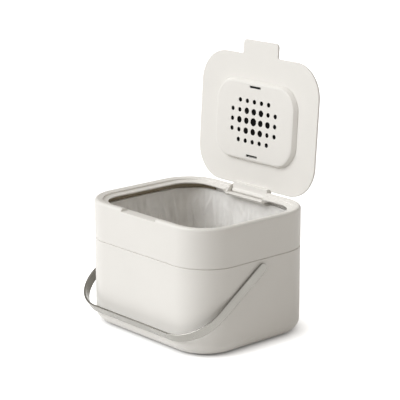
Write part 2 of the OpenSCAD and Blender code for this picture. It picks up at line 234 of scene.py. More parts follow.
class Draft:
    """Vertices and faces that are collected and then written as one mesh object."""

    def __init__(self) -> None:
        """Starts with nothing in it."""
        self.points: list[Array] = []
        self.faces: list[Array] = []
        self.marks: list[Array] = []
        self.count = 0

    def add(self, points: Array, faces: Array, marks: Array | None = None) -> None:
        """Adds vertices and the faces among them.

        Args:
            points: vertices, shape (k, 3).
            faces: vertex numbers within points, shape (f, 3) or (f, 4).
            marks: texture positions of the faces' corners, shape (f, 3 or 4, 2). Left out, they are the points' x, y.
        """
        flat = np.asarray(points, float).reshape(-1, 3)
        self.marks.append(flat[faces][..., :2] * MM if marks is None else marks)
        self.points.append(flat)
        self.faces.append(faces + self.count)
        self.count += len(flat)

    def grid(self, points: Array, loop_u: bool = True, loop_v: bool = False, spread: Spread = None) -> None:
        """Adds a grid of quads.

        Args:
            points: shape (n, m, 3).
            loop_u: whether the last row joins the first.
            loop_v: whether the last column joins the first.
            spread: texture positions of rows and of columns, one longer than the grid where it loops.
        """
        n, m = points.shape[:2]
        i, j = np.meshgrid(np.arange(n if loop_u else n - 1), np.arange(m if loop_v else m - 1), indexing="ij")
        i, j = i.ravel(), j.ravel()
        i2, j2 = (i + 1) % n, (j + 1) % m
        faces = np.stack([i * m + j, i2 * m + j, i2 * m + j2, i * m + j2], -1)
        marks = None
        if spread is not None:
            u, v = spread
            corners = ((i, j), (i + 1, j), (i + 1, j + 1), (i, j + 1))
            marks = np.stack([np.stack([u[a], v[b]], -1) for a, b in corners], 1)
        self.add(points, faces, marks)

    def disc(self, ring: Array) -> None:
        """Closes a ring of points, shape (n, 3), with a fan round its middle."""
        n = len(ring)
        k = np.arange(n)
        self.add(np.concatenate([ring, ring.mean(0, keepdims=True)]), np.stack([k, (k + 1) % n, np.full(n, n)], -1))

    def pane(self, rings: Sequence[Array], height: float) -> None:
        """Fills a flat region at a height.

        Args:
            rings: plane curves, shape (n, 2) each: the region's edge and then its holes.
            height: the region's height.
        """
        plan = np.concatenate(rings)
        shape = [[Vector((x, y, 0)) for x, y in ring.tolist()] for ring in rings]
        faces = np.array(tessellate_polygon(shape), int)
        a, b, c = (plan[faces[:, k]] for k in range(3))
        area = (b[:, 0] - a[:, 0]) * (c[:, 1] - a[:, 1]) - (b[:, 1] - a[:, 1]) * (c[:, 0] - a[:, 0])
        faces = np.where((area < 0)[:, None], faces[:, ::-1], faces)[np.abs(area) > 1e-9]
        self.add(np.column_stack([plan, np.full(len(plan), height)]), faces)

    def capped(self, points: Array, loop_u: bool = True, spread: Spread = None) -> None:
        """Adds a grid that loops along its rows, or else along its columns, and closes both of its ends."""
        self.grid(points, loop_u, not loop_u, spread)
        for k in (0, -1):
            self.disc(points[:, k] if loop_u else points[k])

    def hollow(self, outer: Array, inner: Array) -> None:
        """Adds a flat ring: its outer and inner walls, and the faces between them at both ends."""
        for wall in (outer, inner):
            self.grid(wall)
        for k in (0, -1):
            self.pane([wall[:, k, :2] for wall in (outer, inner)], outer[0, k, 2])

    def build(
        self, name: str, place: Placement | None = None, closed: bool = True, sharp_deg: float = 38
    ) -> bpy.types.Object:
        """Writes the mesh and its object, in metres.

        Args:
            name: the piece's name.
            place: moves the points to where the piece rests, in millimetres.
            closed: whether the surface is closed, so that its faces can be turned outwards.
            sharp_deg: edges that bend by more than this stay sharp.

        Returns:
            The new object, at the origin.
        """
        points = np.concatenate(self.points)
        points = (place(points) if place else points) * MM
        mesh = bpy.data.meshes.new(name)
        mesh.from_pydata(points.tolist(), [], [face for block in self.faces for face in block.tolist()])
        marks = mesh.uv_layers.new(name="marks")
        marks.data.foreach_set("uv", np.concatenate([block.reshape(-1, 2) for block in self.marks]).ravel())
        shape = bmesh.new()
        shape.from_mesh(mesh)
        bmesh.ops.remove_doubles(shape, verts=shape.verts, dist=2e-6)
        bmesh.ops.dissolve_degenerate(shape, edges=shape.edges, dist=1e-7)
        if closed:
            bmesh.ops.recalc_face_normals(shape, faces=shape.faces)
        shape.to_mesh(mesh)
        shape.free()
        mesh.polygons.foreach_set("use_smooth", np.ones(len(mesh.polygons), bool))
        mesh.set_sharp_from_angle(angle=math.radians(sharp_deg))
        return linked(name, mesh)


def linked(name: str, data: bpy.types.ID) -> bpy.types.Object:
    """Returns a new object in the scene that holds data."""
    made = bpy.data.objects.new(name, data)
    bpy.context.scene.collection.objects.link(made)
    return made


def waves(u: Array, v: Array, count: int, seed: int, low: float, high: float, tall: float, period: float) -> Array:
    """Sum of plane waves that closes up round the caddy.

    Each wave is a cosine of (k u 2 pi / period + q v + phase), with whole k so that it meets itself after one turn,
    q of either sign up to tall, and its height falling with the wave number.

    Args:
        u: distance round the caddy.
        v: depth down the wall, of the same shape.
        count: how many waves.
        seed: picks the waves.
        low: least number of waves round the caddy.
        high: greatest number.
        tall: greatest wave number down the wall, in radians per millimetre.
        period: length of one turn.

    Returns:
        The sum at each point, about -1 to 1.
    """
    pick = np.random.default_rng(seed)
    k = np.round(pick.uniform(low, high, count))
    q = pick.uniform(-tall, tall, count)
    phase = pick.uniform(0, 2 * np.pi, count)
    height = 1 / np.sqrt(k)
    total = (np.cos(u[..., None] * k * (2 * np.pi / period) + v[..., None] * q + phase) * height).sum(-1)
    return total / (1.6 * np.sqrt((height**2).sum() / 2))


# ---- finishes ----------------------------------------------------------------------------------


class Nodes:
    """A node tree that is filled by short calls."""

    def __init__(self, tree: bpy.types.NodeTree) -> None:
        """Keeps the tree."""
        self.tree = tree

    def node(self, kind: str, **values: object) -> bpy.types.Node:
        """Adds a node.

        Args:
            kind: the node's type.
            values: its settings by name, or its inputs' values with spaces written as underscores.

        Returns:
            The node.
        """
        made = self.tree.nodes.new(kind)
        for key, value in values.items():
            socket = made.inputs.get(key.replace("_", " "))
            if socket is not None and not hasattr(type(made), key):
                socket.default_value = value
            else:
                setattr(made, key, value)
        return made

    def join(self, source: Socket, target: Socket) -> None:
        """Links two sockets."""
        self.tree.links.new(source, target)

    def maths(self, operation: str, *values: Socket | float) -> Socket:
        """Returns the result of an operation on sockets and numbers."""
        made = self.node("ShaderNodeMath", operation=operation)
        for value, target in zip(values, made.inputs):
            if isinstance(value, bpy.types.NodeSocket):
                self.join(value, target)
            else:
                target.default_value = value
        return made.outputs[0]

    def noise(self, vector: Socket, scale: float, detail: float = 2, rough: float = 0.5) -> Socket:
        """Returns the value of a noise of that many features per metre."""
        made = self.node("ShaderNodeTexNoise", Scale=scale, Detail=detail, Roughness=rough)
        self.join(vector, made.inputs["Vector"])
        return made.outputs["Fac"]

    def span(self, value: Socket, low: float, high: float, start: float = 0.3, end: float = 0.7) -> Socket:
        """Returns value stretched from the range start to end to the range low to high."""
        made = self.node("ShaderNodeMapRange")
        for name, number in (("From Min", start), ("From Max", end), ("To Min", low), ("To Max", high)):
            made.inputs[name].default_value = number
        self.join(value, made.inputs["Value"])
        return made.outputs["Result"]

    def mix(self, value: Socket, first: Sequence[float], second: Sequence[float]) -> Socket:
        """Returns a colour that runs from first to second with value."""
        made = self.node("ShaderNodeMix", data_type="RGBA")
        made.inputs[6].default_value = (*first, 1)
        made.inputs[7].default_value = (*second, 1)
        self.join(value, made.inputs[0])
        return made.outputs[2]


class Sheet(Nodes):
    """A material's node tree with its Principled shader."""

    def __init__(self, name: str) -> None:
        """Makes the material and keeps its shader node."""
        self.material = bpy.data.materials.new(name)
        self.material.use_nodes = True
        super().__init__(self.material.node_tree)
        self.shader = self.tree.nodes["Principled BSDF"]

    def set(self, **values: Socket | object) -> None:
        """Sets or links the shader's own sockets, their spaces written as underscores."""
        for key, value in values.items():
            target = self.shader.inputs[key.replace("_", " ")]
            if isinstance(value, bpy.types.NodeSocket):
                self.join(value, target)
            else:
                target.default_value = value

    def tone(self, value: Socket, colour: Colour, dark: float, light: float = 1) -> None:
        """Runs the base colour from dark times to light times colour as value goes from 0.3 to 0.7."""
        ends = (tuple(c * share for c in colour) for share in (dark, light))
        self.set(Base_Color=self.mix(self.span(value, 0, 1), *ends))

    def bumps(self, *layers: tuple[Socket, float, float]) -> None:
        """Stacks bumps on the shader's normal, each a height socket, a strength and a depth in metres."""
        last: bpy.types.Node | None = None
        for height, strength, depth in layers:
            made = self.node("ShaderNodeBump", Strength=strength, Distance=depth)
            self.join(height, made.inputs["Height"])
            if last is not None:
                self.join(last.outputs["Normal"], made.inputs["Normal"])
            last = made
        if last is not None:
            self.set(Normal=last.outputs["Normal"])

    def place(self) -> Socket:
        """Returns object coordinates."""
        return self.node("ShaderNodeTexCoord").outputs["Object"]


@dataclass(frozen=True)
class SatinPlastic:
    """Moulded satin plastic: faint mottling of tone and gloss over a fine spark-eroded grain."""

    name: str = "satin_plastic"
    colour: Colour = (0.83, 0.81, 0.775)
    roughness: float = 0.46
    grain: float = 0.12

    def make(self) -> bpy.types.Material:
        """Returns the material."""
        sheet = Sheet(self.name)
        at = sheet.place()
        sheet.tone(sheet.noise(at, 14, 4, 0.6), self.colour, 0.972)
        gloss = sheet.span(sheet.noise(at, 60, 3), self.roughness - 0.04, self.roughness + 0.05)
        sheet.set(Roughness=gloss, Specular_IOR_Level=0.32)
        sheet.bumps((sheet.noise(at, 2600, 2), self.grain, 0.00005), (sheet.noise(at, 35, 2), 0.10, 0.0004))
        return sheet.material


@dataclass(frozen=True)
class BrushedSteel:
    """Stainless strip with brush lines along it, its texture positions in metres along and round the strip."""

    name: str = "brushed_steel"
    colour: Colour = (0.33, 0.32, 0.295)
    on_strip: bool = True

    def make(self) -> bpy.types.Material:
        """Returns the material."""
        sheet = Sheet(self.name)
        source = sheet.node("ShaderNodeTexCoord").outputs["UV" if self.on_strip else "Object"]
        stretch = sheet.node("ShaderNodeMapping")
        stretch.inputs["Scale"].default_value = (18, 5200, 1) if self.on_strip else (400, 4000, 4000)
        sheet.join(source, stretch.inputs["Vector"])
        lines = sheet.noise(stretch.outputs["Vector"], 1, 3, 0.6)
        cloud = sheet.noise(sheet.place(), 30, 2)
        sheet.tone(lines, self.colour, 0.82, 1.08)
        sheet.set(Roughness=sheet.span(cloud, 0.24, 0.34), Metallic=1.0)
        if self.on_strip:
            along = sheet.node("ShaderNodeTangent", direction_type="UV_MAP", uv_map="marks")
            sheet.set(Anisotropic=0.75, Anisotropic_Rotation=0.25, Tangent=along.outputs["Tangent"])
        sheet.bumps((lines, 0.25, 0.00004))
        return sheet.material


@dataclass(frozen=True)
class LinerFilm:
    """Cloudy compostable film: patches of tone, soft crumple ridges and fine cross creases."""

    name: str = "liner_film"
    colour: Colour = (0.90, 0.885, 0.86)

    def make(self) -> bpy.types.Material:
        """Returns the material."""
        sheet = Sheet(self.name)
        at = sheet.place()
        bent = sheet.node("ShaderNodeTexNoise", Scale=26, Detail=3)
        sheet.join(at, bent.inputs["Vector"])
        mixed = sheet.node("ShaderNodeMix", data_type="VECTOR")
        mixed.inputs[0].default_value = 0.03
        sheet.join(at, mixed.inputs[4])
        sheet.join(bent.outputs["Color"], mixed.inputs[5])
        ridges = []
        for scale in (30, 120):
            cells = sheet.node("ShaderNodeTexVoronoi", feature="F1", Scale=scale)
            sheet.join(mixed.outputs[1], cells.inputs["Vector"])
            ridges.append(cells.outputs["Distance"])
        cloud = sheet.noise(at, 22, 5, 0.6)
        sheet.tone(cloud, self.colour, 0.84)
        sheet.set(Roughness=sheet.span(cloud, 0.34, 0.5), Specular_IOR_Level=0.35)
        sheet.bumps((ridges[0], 0.7, 0.003), (ridges[1], 0.2, 0.0005), (cloud, 0.4, 0.0015))
        return sheet.material


@dataclass(frozen=True)
class FibrePad:
    """A matt, dull surface: the carbon pad's felt, the gasket's dark padding, which also makes the painted shade behind
    the slots, or the dark brown strip of painted shade under the rim.
    """

    name: str = "carbon_felt"
    colour: Colour = (0.006, 0.006, 0.006)

    def make(self) -> bpy.types.Material:
        """Returns the material."""
        sheet = Sheet(self.name)
        at = sheet.place()
        fibre = sheet.noise(at, 1500, 6, 0.75)
        sheet.tone(fibre, self.colour, 0.5, 1.8)
        sheet.set(Roughness=0.95, Specular_IOR_Level=0.05)
        sheet.bumps((fibre, 0.7, 0.0005))
        return sheet.material


class Finishes:
    """Every finish of the caddy, made once."""

    def __init__(self) -> None:
        """Makes the materials."""
        self.shell = SatinPlastic().make()
        self.bush = SatinPlastic("bush_plastic", (0.62, 0.61, 0.58), 0.4, 0.05).make()
        self.strap = BrushedSteel().make()
        self.turned = BrushedSteel("turned_steel", (0.44, 0.43, 0.41), False).make()
        self.film = LinerFilm().make()
        self.carbon = FibrePad().make()
        # dark padding for the real gasket, also used for the frames of painted shade that darken the slots
        self.foam = FibrePad("foam_gasket_and_slot_shade", (0.035, 0.035, 0.034)).make()
        # painted shade: a dark brown colour for the strip that stands in for the shaded recess under the rim's ledge
        self.shade_strip = FibrePad("rim_shade_brown", (0.36, 0.31, 0.235)).make()


def dress(
    piece: bpy.types.Object, material: bpy.types.Material, body: Body, slot: str, *nodes: str, even: bool = False
) -> bpy.types.Object:
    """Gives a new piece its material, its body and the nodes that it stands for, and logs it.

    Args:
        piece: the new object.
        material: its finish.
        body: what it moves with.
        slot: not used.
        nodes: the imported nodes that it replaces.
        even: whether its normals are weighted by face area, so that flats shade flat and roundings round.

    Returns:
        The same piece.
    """
    piece.data.materials.append(material)
    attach(piece, body.value)
    if nodes:
        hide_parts(*nodes)
    if even:
        weight = piece.modifiers.new("even_shading", "WEIGHTED_NORMAL")
        weight.keep_sharp, weight.weight = True, 100
    log.info("%s: %d faces, rides on %s", piece.name, len(piece.data.polygons), body.value)
    return piece


def repaint(material: bpy.types.Material, *nodes: str) -> None:
    """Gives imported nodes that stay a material."""
    for name in nodes:
        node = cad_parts[name]
        for slot in node.material_slots:
            slot.material = material
        log.info("%s: kept, dressed in %s", name, material.name)


# ---- sub-assemblies ----------------------------------------------------------------------------


@dataclass(frozen=True)
class Sizes:
    """Sizes that several sub-assemblies share."""

    width: float = 230
    depth: float = 189
    height: float = 158.6
    corner: float = 49.5
    wall: float = 2.4
    collar_foot: float = 109.0
    bucket_top: float = 108.2
    neck_inset: float = 3.2
    neck_in: float = 5.2
    neck_top: float = 142.0
    floor: float = 3.7
    axis_y: float = 90.8
    axis_z: float = 151.0
    lid_open: float = 93.7
    lid_under: float = 154.8
    pad: tuple[float, float, float] = (104, 74, 3)
    pad_corner: float = 23.1
    frame_w: float = 9.6

    def opened(self, points: Array) -> Array:
        """Turns points of the closed lid open: a rotation about the hinge axis, along X, by minus the opening angle."""
        turn = math.radians(-self.lid_open)
        y, z = points[:, 1] - self.axis_y, points[:, 2] - self.axis_z
        return np.stack([points[:, 0], self.axis_y + y * math.cos(turn) - z * math.sin(turn),
                         self.axis_z + y * math.sin(turn) + z * math.cos(turn)], -1)


@dataclass
class Bucket:
    """The lower shell: base pad, rounded base edge, wall, seam groove, neck and inside."""

    sizes: Sizes
    base_r: float = 14
    pad_h: float = 1.3
    pad_inset: float = 18
    groove: float = 1.2
    disc: float = 30

    def profile(self) -> Array:
        """The wall's section from the pad's edge, up the outside, over the neck and down the inside to the floor.

        Returns:
            Insets and heights, shape (m, 2).
        """
        s = self.sizes
        big = self.base_r
        shoulder = s.collar_foot - 0.3
        corners = [(-self.disc, 0), (-self.pad_inset, 0), (-self.pad_inset, self.pad_h), (0, self.pad_h),
                   (0, s.bucket_top), (-self.groove, s.bucket_top), (-self.groove, shoulder), (-s.neck_inset, shoulder),
                   (-s.neck_inset, s.neck_top), (-s.neck_in, s.neck_top), (-s.neck_in, shoulder - s.wall),
                   (-s.wall, shoulder - s.neck_in), (-s.wall, s.floor), (-self.disc, s.floor)]
        line = section(corners, [0.3, 0.2, big, 0.35, 0.15, 0.1, 0.1, 0.6, 0.6, 1, 1, big - s.wall], 14)
        return np.column_stack([-line[:, 0], line[:, 1]])

    def build(self, finishes: Finishes) -> None:
        """Makes the shell, closed by the pad's face below and the floor inside."""
        s = self.sizes
        line = self.profile()
        path = rounded_rectangle(s.width, s.depth, s.corner, arc=30)
        draft = Draft()
        draft.capped(swept(path, line[:, 0], line[:, 1]))
        dress(draft.build("bucket_shell"), finishes.shell, Body.BUCKET, "shell", "bucket", even=True)
        repaint(finishes.bush, "bush_left", "bush_right")


@dataclass(frozen=True)
class Notch:
    """A notch in the rim over a solid bed, both given by how high they stand at each inset."""

    half: float
    floor: Line
    depth: float
    bed_half: float
    bed: Line
    side: float = 0.5
    ramp: float = 0.5
    border: float = 10.4
    edge: float = 0.7
    squeeze: float = 0.02

    def stations(self) -> Array:
        """Returns the x positions that the end faces of the notch and of its bed need."""
        face = np.concatenate([h + self.side * np.linspace(-0.5, 0.5, 7) for h in (self.half, self.bed_half)])
        face = np.concatenate([face, self.half - self.side / 2 + self.ramp * np.linspace(0, 1, 9)])
        return np.concatenate([-face, face])

    def share(self, x: Array, half: float, side: float) -> Array:
        """Returns 1 within half of the middle and 0 outside, by a smooth step of a width outwards from there."""
        t = np.clip((half - self.side / 2 + side - np.abs(x)) / side, 0, 1)
        return (t * t * (3 - 2 * t))[:, None]

    def cut(self, x: Array, here: Array, insets: Array, heights: Array, under: Array) -> Array:
        """Lowers the rim's section inside the notch and fills it down to the bed's underside.

        Heights over a level shrink to a small share, squeeze, of what they stand above it. The level runs straight
        between the given insets: the floor's for the upper side, its outer edge rounded by a quarter of an ellipse,
        and the bed's for the lower side.

        Args:
            x: position along the rim of each station.
            here: which stations lie on the notch's side of the caddy.
            insets: the section's insets, shape (m,).
            heights: the section's heights at each station, shape (n, m).
            under: which of the section's points are on its underside.

        Returns:
            The new heights.
        """
        edge = self.edge
        drop = edge - np.sqrt(np.clip(edge**2 - np.clip(edge - insets, 0, edge) ** 2, 0, None))
        floor, bed = (np.interp(insets, *np.transpose(line)) for line in (self.floor, self.bed))
        level = np.where(under, bed, floor - drop)
        lowered = np.where(heights > level, level + self.squeeze * (heights - level), heights)
        border, ledge = self.share(x, self.half, self.side), self.share(x, self.half, self.ramp)
        over = np.where(insets < self.border, border, ledge) * (insets < self.depth)
        amount = np.where(under, self.share(x, self.bed_half, max(self.side, self.ramp)), over)
        return heights + np.where(here[:, None], amount, 0) * (lowered - heights)


@dataclass
class Collar:
    """The upper shell: wall band, sloping border, ledge and lip, notched for the lid's tab and for the hinge."""

    sizes: Sizes
    border: float = 10
    border_drop: float = 2.3
    rim_r: float = 3.5
    ledge: float = 17
    ledge_top: float = 154.5
    ledge_in: float = 153.0
    lip: float = 150.8
    lip_w: float = 1.8
    ledge_t: float = 1.8
    # the strip of painted shade: how far from the middle it stops short at the rear, where the recess under the ledge
    # is lit, and its section
    shade_strip_end: float = 60
    shade_strip_line: Line = ((2.72, 142.7), (2.72, 150.7), (13.6, 150.7), (13.6, 151.0), (7, 152.4), (3.2, 153),
                       (2.42, 152.3), (2.42, 142.7))
    tab: Notch = Notch(31.6, ((0, 154.4), (11, 154.4)), 10.6, 34, ((0, 152.6), (17, 152.6)))
    hinge: Notch = Notch(32, ((0, 147.2), (8, 147.2), (9.5, 149.1), (16.4, 149.1), (17, 148.6)), 17.5, 33.5,
                         ((0, 145.4), (15, 145.4), (16.9, 148.3), (17, 148.4)), ramp=4.5)

    def section(self) -> tuple[Array, Array, Array]:
        """Works out the ring's section, outside, over the border and the ledge and back under them.

        Returns:
            Insets, heights, and which points are on the underside.
        """
        s, h, steps = self.sizes, self.sizes.height, 10
        inner = self.border - s.wall
        fall = (self.ledge_top - self.ledge_in) / (self.ledge - self.border)
        cut = self.ledge - self.lip_w
        over = [(0, s.collar_foot), (0, h), (-self.border, h - self.border_drop), (-self.border, self.ledge_top)]
        back = [(-x, self.ledge_top - (x - self.border) * fall) for x in (cut, cut + 0.1)]
        below = [(-self.ledge, self.ledge_in), (-self.ledge, self.ledge_in - 0.5), (-cut, self.lip),
                 (-cut + 0.4, self.ledge_in - self.ledge_t), (-inner, self.ledge_top - self.ledge_t),
                 (-inner, h - self.border_drop - s.wall), (-self.rim_r, h - 4.2), (-s.wall, h - 5.9),
                 (-s.wall, s.collar_foot)]
        radii = [0.35, self.rim_r, 0.55, 0.3, 0.04, 0.04, 0.2, 0.2, 0.3, 0.2, 0.3, 0.3, 0.5, 0.5, 0.2]
        line = rounded([*over, *back, *below], radii, steps).points
        return -line[:, 0], line[:, 1], np.arange(len(line)) >= 7 * steps + steps // 2

    def shade_strip(self) -> Draft:
        """Returns the painted shade: a dark L-shaped strip on the wall and under the ledge, standing in for the shade
        in the recess there, round from one side of the hinge to the other and left out at the rear.
        """
        s = self.sizes
        line = rounded(np.array(self.shade_strip_line) * (-1, 1), 0.08, 3).points
        path = rounded_rectangle(s.width, s.depth, s.corner, arc=30)
        keep = (path.points[:, 1] < s.depth / 2 - 0.01) | (np.abs(path.points[:, 0]) > self.shade_strip_end)
        first = int(np.argmax(~keep))
        order = np.roll(np.arange(len(keep)), -first)
        order = order[keep[order]]
        draft = Draft()
        draft.capped(swept(Outline(path.points[order], path.normals[order]), -line[:, 0], line[:, 1]), loop_u=False)
        return draft

    def build(self, finishes: Finishes) -> None:
        """Makes the ring, from one section whose heights change at the two notches, and the dark strip of painted shade
        in it.
        """
        s = self.sizes
        insets, line, under = self.section()
        stations = {"front": self.tab.stations(), "back": self.hinge.stations()}
        path = rounded_rectangle(s.width, s.depth, s.corner, arc=30, **stations)
        x, y = path.points.T
        heights = np.broadcast_to(line, (len(x), len(line)))
        heights = self.tab.cut(x, y < -s.depth / 2 + 0.01, insets, heights, under)
        heights = self.hinge.cut(x, y > s.depth / 2 - 0.01, insets, heights, under)
        draft = Draft()
        draft.grid(swept(path, insets, heights), loop_v=True)
        dress(draft.build("collar_shell"), finishes.shell, Body.COLLAR, "shell", "collar", even=True)
        # painted shade: the dark strip stands in for the shade in the recess under the ledge
        dress(self.shade_strip().build("rim_shade_strip"), finishes.shade_strip, Body.COLLAR, "foam")
        repaint(finishes.turned, "hinge_pin")


@dataclass
class Lid:
    """The lid's plate with its tab and vent slots, the hinge block at its back and the clip frame under it."""

    sizes: Sizes
    width: float = 208.8
    front: float = -83.9
    back: float = 83.3
    corner: float = 42.5
    thick: float = 2.8
    edge: float = 0.9
    tab_half: float = 31
    tab_len: float = 18.3
    block_half: float = 31
    vents: int = 2
    vent_size: tuple[float, float] = (80, 3)
    pitch: float = 12.7
    cover_y: float = -0.7
    slot_edge: float = 0.3
    barrel_r: float = 3.2
    block_edge: float = 0.6
    frame_low: float = 153.9
    frame_edge: float = 0.2
    tongue_edge: float = 0.3
    tongues: tuple[tuple[float, float, float, float], ...] = ((-45.1, 151.9, 0.7, 9.4), (45.0, 151.2, 0.8, 8.9))

    def outline(self) -> Outline:
        """Returns the plate's outline with the tab, whose inner corners are rounded too."""
        w, t, tip = self.width / 2, self.tab_half, self.front - self.tab_len
        corners = [(-w, self.front), (-t, self.front), (-t, tip), (t, tip), (t, self.front), (w, self.front),
                   (w, self.back), (-w, self.back)]
        c = self.corner
        return rounded(corners, [c, 2.2, 5, 5, 2.2, c, c, c], 26)

    def edge_profile(self) -> Array:
        """Returns insets and heights round the plate's edge, half an ellipse on each side of a short upright."""
        a = np.linspace(-np.pi / 2, np.pi / 2, 13)
        rise = self.thick - 2 * self.edge
        return np.column_stack([self.edge * (1 - np.cos(a)),
                                self.sizes.lid_under + self.edge + self.edge * np.sin(a) + rise * (a > 0)])

    def slots(self) -> list[Outline]:
        """Returns the vent slots' outlines."""
        w, h = self.vent_size[0] / 2, self.vent_size[1] / 2
        one = bar(w, h, h * 0.98, 6)
        return [one.moved(0, self.cover_y + k * self.pitch) for k in range(-self.vents, self.vents + 1)]

    def plate(self) -> Draft:
        """Returns the plate: its rounded edge, both faces with the slots left open, and the slots' walls."""
        draft = Draft()
        line = self.edge_profile()
        rim = swept(self.outline(), line[:, 0], line[:, 1])
        draft.grid(rim)
        slots = self.slots()
        low, high = self.sizes.lid_under, self.sizes.lid_under + self.thick
        draft.pane([rim[:, 0, :2], *(slot.points for slot in slots)], low)
        draft.pane([rim[:, -1, :2], *(slot.inset(-self.slot_edge) for slot in slots)], high)
        rise, fall = quarter(self.slot_edge, 4)
        for slot in slots:
            draft.grid(swept(slot, np.append(0, -rise), np.append(low, high - fall)))
        return draft

    def block(self) -> Draft:
        """Returns the hinge block, its section in Y and Z carried along X with rounded ends."""
        s, r = self.sizes, self.barrel_r
        a = np.radians(np.linspace(-150, 0, 9))
        barrel = [(s.axis_y + r * math.cos(t), s.axis_z + r * math.sin(t)) for t in a]
        corners = [(self.back - 3, 149.4), *barrel, (s.axis_y + r, 155.1), (s.axis_y + 1.6, s.height - 0.3),
                   (self.back + 0.4, 157.5), (self.back - 3, 157.2)]
        path = rounded(corners, [0.7, 0.4, *[0.5] * 7, 0.4, 1.2, 1.2, 0.4, 0.3], 6)
        rise, fall = quarter(self.block_edge, 5)
        along = np.concatenate([-self.block_half + rise, self.block_half - rise[::-1]])
        draft = Draft()
        draft.capped(swept(path, np.concatenate([fall, fall[::-1]]), along)[..., [2, 0, 1]])
        return draft

    def clips(self) -> Draft:
        """Returns the clip frame: a flat ring round the pad, and two tongues that reach into the cover's slots."""
        s, high = self.sizes, self.sizes.lid_under
        w, d = s.pad[:2]
        outer = rounded_rectangle(w + 2 * s.frame_w, d + 2 * s.frame_w, s.pad_corner + s.frame_w, arc=12)
        inner = rounded_rectangle(w, d, s.pad_corner, arc=12)
        rise, fall = (side[::-1] for side in quarter(self.frame_edge, 4))
        out, up = np.append(rise, 0), np.append(self.frame_low + fall, high)
        draft = Draft()
        draft.hollow(swept(outer.moved(0, self.cover_y), out, up), swept(inner.moved(0, self.cover_y), -out, up))
        rise, fall = (side[::-1] for side in quarter(self.tongue_edge, 4))
        for y, foot, thick, half in self.tongues:
            tongue = bar(half, thick / 2, 0.3, 4).moved(0, self.cover_y + y)
            draft.capped(swept(tongue, np.append(rise, 0), np.append(foot + fall, high - 0.1)))
        return draft

    def build(self, finishes: Finishes) -> None:
        """Makes the plate, the hinge block and the clip frame."""
        place = self.sizes.opened
        for name, draft, nodes in (("lid_plate", self.plate(), ["lid"]), ("lid_hinge_block", self.block(), []),
                                   ("lid_clips", self.clips(), ["clip_frame"])):
            dress(draft.build(name, place), finishes.shell, Body.LID, "shell", *nodes, even=True)


